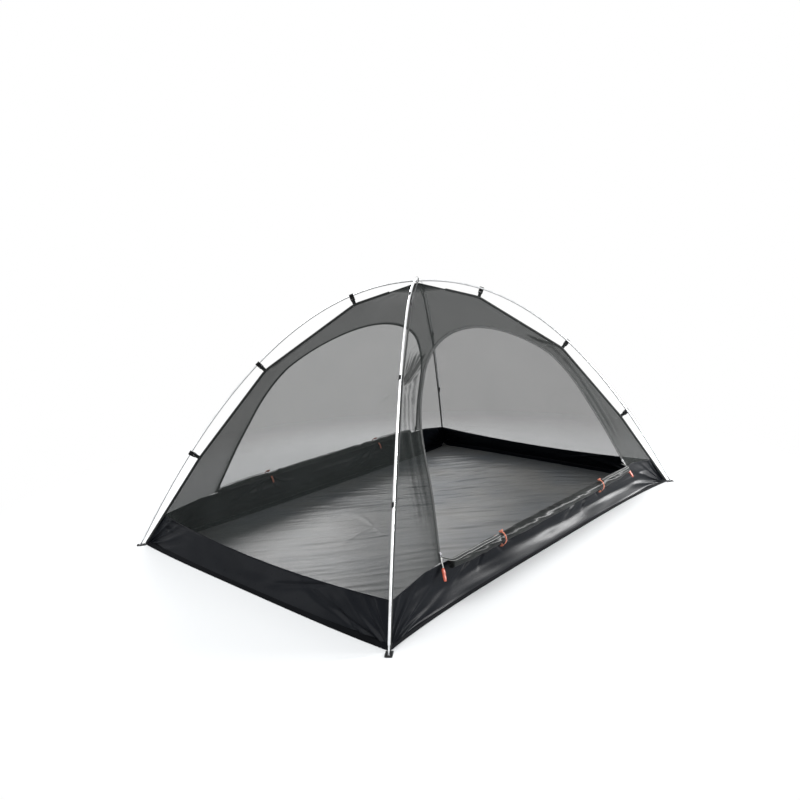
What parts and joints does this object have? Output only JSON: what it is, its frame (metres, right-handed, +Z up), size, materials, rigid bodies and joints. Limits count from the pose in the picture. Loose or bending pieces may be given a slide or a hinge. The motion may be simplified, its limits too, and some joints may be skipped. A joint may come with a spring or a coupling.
{
  "type": "mosquito net tent",
  "caption": "Low dome tent of see-through black net on crossed poles, with a sheet floor, low solid walls and arched doors rolled down on both long sides.",
  "frame": {"origin": "on the ground, under the crossing of the two poles", "axes": "+X along the tent's long side, +Y from the front door to the back door, +Z up"},
  "size_m": [2.1406, 1.5088, 1.0869],
  "materials": {
    "black_net": "fine black mosquito net, see-through",
    "grey_floor_cloth": "grey coated cloth with a soft sheen",
    "black_wall_cloth": "black coated cloth, satin",
    "black_binding": "matte woven binding tape",
    "black_webbing": "matte webbing",
    "silver_alloy": "bright satin",
    "white_elastic": "covered elastic cord",
    "black_plastic": "satin black plastic",
    "black_zip_tape": "matte zip tape",
    "dark_slider_metal": "dark painted metal",
    "orange_pull": "matte red-orange",
    "orange_elastic": "woven orange elastic"
  },
  "bodies": {
    "tent": {"apex_patch": "black_net", "apex_tie": "black_webbing", "bathtub_wall_back": "black_wall_cloth", "bathtub_wall_front": "black_wall_cloth", "bathtub_wall_left": "black_wall_cloth", "bathtub_wall_right": "black_wall_cloth", "corner_strap_back_left": "black_webbing", "corner_strap_back_right": "black_webbing", "corner_strap_front_left": "black_webbing", "corner_strap_front_right": "black_webbing", "floor_sheet": "grey_floor_cloth", "net_panel_back": "black_net", "net_panel_front": "black_net", "net_panel_left": "black_net", "net_panel_right": "black_net", "pole_a_section_1": "silver_alloy", "pole_a_section_2": "silver_alloy", "pole_a_section_3": "silver_alloy", "pole_a_section_4": "silver_alloy", "pole_a_section_5": "silver_alloy", "pole_b_section_1": "silver_alloy", "pole_b_section_2": "silver_alloy", "pole_b_section_3": "silver_alloy", "pole_b_section_4": "silver_alloy", "pole_b_section_5": "silver_alloy", "ridge_binding_back_left": "black_binding", "ridge_binding_back_right": "black_binding", "ridge_binding_front_left": "black_binding", "ridge_binding_front_right": "black_binding", "shock_cord_a": "white_elastic", "shock_cord_b": "white_elastic", "zip_track_back": "black_zip_tape", "zip_track_front": "black_zip_tape"},
    "pole_hook_front_left_1": {"pole_hook_front_left_1": "black_plastic"},
    "pole_hook_front_left_2": {"pole_hook_front_left_2": "black_plastic"},
    "pole_hook_front_left_3": {"pole_hook_front_left_3": "black_plastic"},
    "zip_slider_front_left": {"zip_slider_front_left": "dark_slider_metal"},
    "zip_pull_front_left": {"zip_pull_front_left": "orange_pull"},
    "door_tie_front_left": {"door_tie_front_left": "orange_elastic"},
    "pole_hook_front_right_1": {"pole_hook_front_right_1": "black_plastic"},
    "pole_hook_front_right_2": {"pole_hook_front_right_2": "black_plastic"},
    "pole_hook_front_right_3": {"pole_hook_front_right_3": "black_plastic"},
    "zip_slider_front_right": {"zip_slider_front_right": "dark_slider_metal"},
    "zip_pull_front_right": {"zip_pull_front_right": "orange_pull"},
    "door_tie_front_right": {"door_tie_front_right": "orange_elastic"},
    "pole_hook_back_left_1": {"pole_hook_back_left_1": "black_plastic"},
    "pole_hook_back_left_2": {"pole_hook_back_left_2": "black_plastic"},
    "pole_hook_back_left_3": {"pole_hook_back_left_3": "black_plastic"},
    "zip_slider_back_left": {"zip_slider_back_left": "dark_slider_metal"},
    "zip_pull_back_left": {"zip_pull_back_left": "orange_pull"},
    "door_tie_back_left": {"door_tie_back_left": "orange_elastic"},
    "pole_hook_back_right_1": {"pole_hook_back_right_1": "black_plastic"},
    "pole_hook_back_right_2": {"pole_hook_back_right_2": "black_plastic"},
    "pole_hook_back_right_3": {"pole_hook_back_right_3": "black_plastic"},
    "zip_slider_back_right": {"zip_slider_back_right": "dark_slider_metal"},
    "zip_pull_back_right": {"zip_pull_back_right": "orange_pull"},
    "door_tie_back_right": {"door_tie_back_right": "orange_elastic"},
    "door_roll_front": {"door_roll_front": "black_net"},
    "door_roll_back": {"door_roll_back": "black_net"}
  },
  "joints": [
    {"name": "pole_hook_front_left_1_swing", "type": "hinge", "parent": "tent", "child": "pole_hook_front_left_1", "pos_m": [-0.83514, -0.5846, 0.37915], "axis": [-0.4772, -0.334, -0.8129], "range_deg": [0, 110]},
    {"name": "pole_hook_front_left_2_swing", "type": "hinge", "parent": "tent", "child": "pole_hook_front_left_2", "pos_m": [-0.57966, -0.40576, 0.74237], "axis": [-0.5977, -0.4184, -0.6839], "range_deg": [0, 110]},
    {"name": "pole_hook_front_left_3_swing", "type": "hinge", "parent": "tent", "child": "pole_hook_front_left_3", "pos_m": [-0.24015, -0.16811, 1.00946], "axis": [-0.7715, -0.5401, -0.3362], "range_deg": [0, 110]},
    {"name": "zip_slider_front_left_slide", "type": "slide", "parent": "tent", "child": "zip_slider_front_left", "axis": [0.3018, 0.3647, 0.8809], "range_m": [0, 0.15]},
    {"name": "zip_pull_front_left_swing", "type": "hinge", "parent": "zip_slider_front_left", "child": "zip_pull_front_left", "pos_m": [-0.68832, -0.6535, 0.17784], "axis": [-0.9534, 0.1154, 0.2788], "range_deg": [0, 140]},
    {"name": "pole_hook_front_right_1_swing", "type": "hinge", "parent": "tent", "child": "pole_hook_front_right_1", "pos_m": [0.83472, -0.5843, 0.37668], "axis": [-0.4799, 0.336, 0.8104], "range_deg": [0, 110]},
    {"name": "pole_hook_front_right_2_swing", "type": "hinge", "parent": "tent", "child": "pole_hook_front_right_2", "pos_m": [0.57873, -0.40511, 0.73726], "axis": [-0.6005, 0.4203, 0.6802], "range_deg": [0, 110]},
    {"name": "pole_hook_front_right_3_swing", "type": "hinge", "parent": "tent", "child": "pole_hook_front_right_3", "pos_m": [0.23931, -0.16752, 1.00144], "axis": [-0.7726, 0.5408, 0.3326], "range_deg": [0, 110]},
    {"name": "zip_slider_front_right_slide", "type": "slide", "parent": "tent", "child": "zip_slider_front_right", "axis": [-0.3018, 0.3647, 0.8809], "range_m": [0, 0.15]},
    {"name": "zip_pull_front_right_swing", "type": "hinge", "parent": "zip_slider_front_right", "child": "zip_pull_front_right", "pos_m": [0.68832, -0.6535, 0.17784], "axis": [-0.9534, -0.1154, -0.2788], "range_deg": [0, 140]},
    {"name": "pole_hook_back_left_1_swing", "type": "hinge", "parent": "tent", "child": "pole_hook_back_left_1", "pos_m": [-0.83472, 0.5843, 0.37668], "axis": [0.4799, -0.336, 0.8104], "range_deg": [0, 110]},
    {"name": "pole_hook_back_left_2_swing", "type": "hinge", "parent": "tent", "child": "pole_hook_back_left_2", "pos_m": [-0.57873, 0.40511, 0.73726], "axis": [0.6005, -0.4203, 0.6802], "range_deg": [0, 110]},
    {"name": "pole_hook_back_left_3_swing", "type": "hinge", "parent": "tent", "child": "pole_hook_back_left_3", "pos_m": [-0.23931, 0.16752, 1.00144], "axis": [0.7726, -0.5408, 0.3326], "range_deg": [0, 110]},
    {"name": "zip_slider_back_left_slide", "type": "slide", "parent": "tent", "child": "zip_slider_back_left", "axis": [0.3018, -0.3647, 0.8809], "range_m": [0, 0.15]},
    {"name": "zip_pull_back_left_swing", "type": "hinge", "parent": "zip_slider_back_left", "child": "zip_pull_back_left", "pos_m": [-0.68832, 0.6535, 0.17784], "axis": [0.9534, 0.1154, -0.2788], "range_deg": [0, 140]},
    {"name": "pole_hook_back_right_1_swing", "type": "hinge", "parent": "tent", "child": "pole_hook_back_right_1", "pos_m": [0.83514, 0.5846, 0.37915], "axis": [0.4772, 0.334, -0.8129], "range_deg": [0, 110]},
    {"name": "pole_hook_back_right_2_swing", "type": "hinge", "parent": "tent", "child": "pole_hook_back_right_2", "pos_m": [0.57966, 0.40576, 0.74237], "axis": [0.5977, 0.4184, -0.6839], "range_deg": [0, 110]},
    {"name": "pole_hook_back_right_3_swing", "type": "hinge", "parent": "tent", "child": "pole_hook_back_right_3", "pos_m": [0.24015, 0.16811, 1.00946], "axis": [0.7715, 0.5401, -0.3362], "range_deg": [0, 110]},
    {"name": "zip_slider_back_right_slide", "type": "slide", "parent": "tent", "child": "zip_slider_back_right", "axis": [-0.3018, -0.3647, 0.8809], "range_m": [0, 0.15]},
    {"name": "zip_pull_back_right_swing", "type": "hinge", "parent": "zip_slider_back_right", "child": "zip_pull_back_right", "pos_m": [0.68832, 0.6535, 0.17784], "axis": [0.9534, -0.1154, 0.2788], "range_deg": [0, 140]},
    {"name": "door_roll_front_swing", "type": "hinge", "parent": "tent", "child": "door_roll_front", "pos_m": [0, -0.66171, 0.1524], "axis": [-1, 0, 0], "range_deg": [0, 100]},
    {"name": "door_roll_back_swing", "type": "hinge", "parent": "tent", "child": "door_roll_back", "pos_m": [0, 0.66171, 0.1524], "axis": [1, 0, 0], "range_deg": [0, 100]},
    {"name": "door_tie_front_left_open", "type": "hinge", "parent": "door_roll_front", "child": "door_tie_front_left", "pos_m": [-0.38, -0.69164, 0.12261], "axis": [1, 0, 0], "range_deg": [0, 100]},
    {"name": "door_tie_front_right_open", "type": "hinge", "parent": "door_roll_front", "child": "door_tie_front_right", "pos_m": [0.38, -0.69175, 0.12253], "axis": [1, 0, 0], "range_deg": [0, 100]},
    {"name": "door_tie_back_left_open", "type": "hinge", "parent": "door_roll_back", "child": "door_tie_back_left", "pos_m": [-0.38, 0.69164, 0.12261], "axis": [-1, 0, 0], "range_deg": [0, 100]},
    {"name": "door_tie_back_right_open", "type": "hinge", "parent": "door_roll_back", "child": "door_tie_back_right", "pos_m": [0.38, 0.69175, 0.12253], "axis": [-1, 0, 0], "range_deg": [0, 100]}
  ]
}
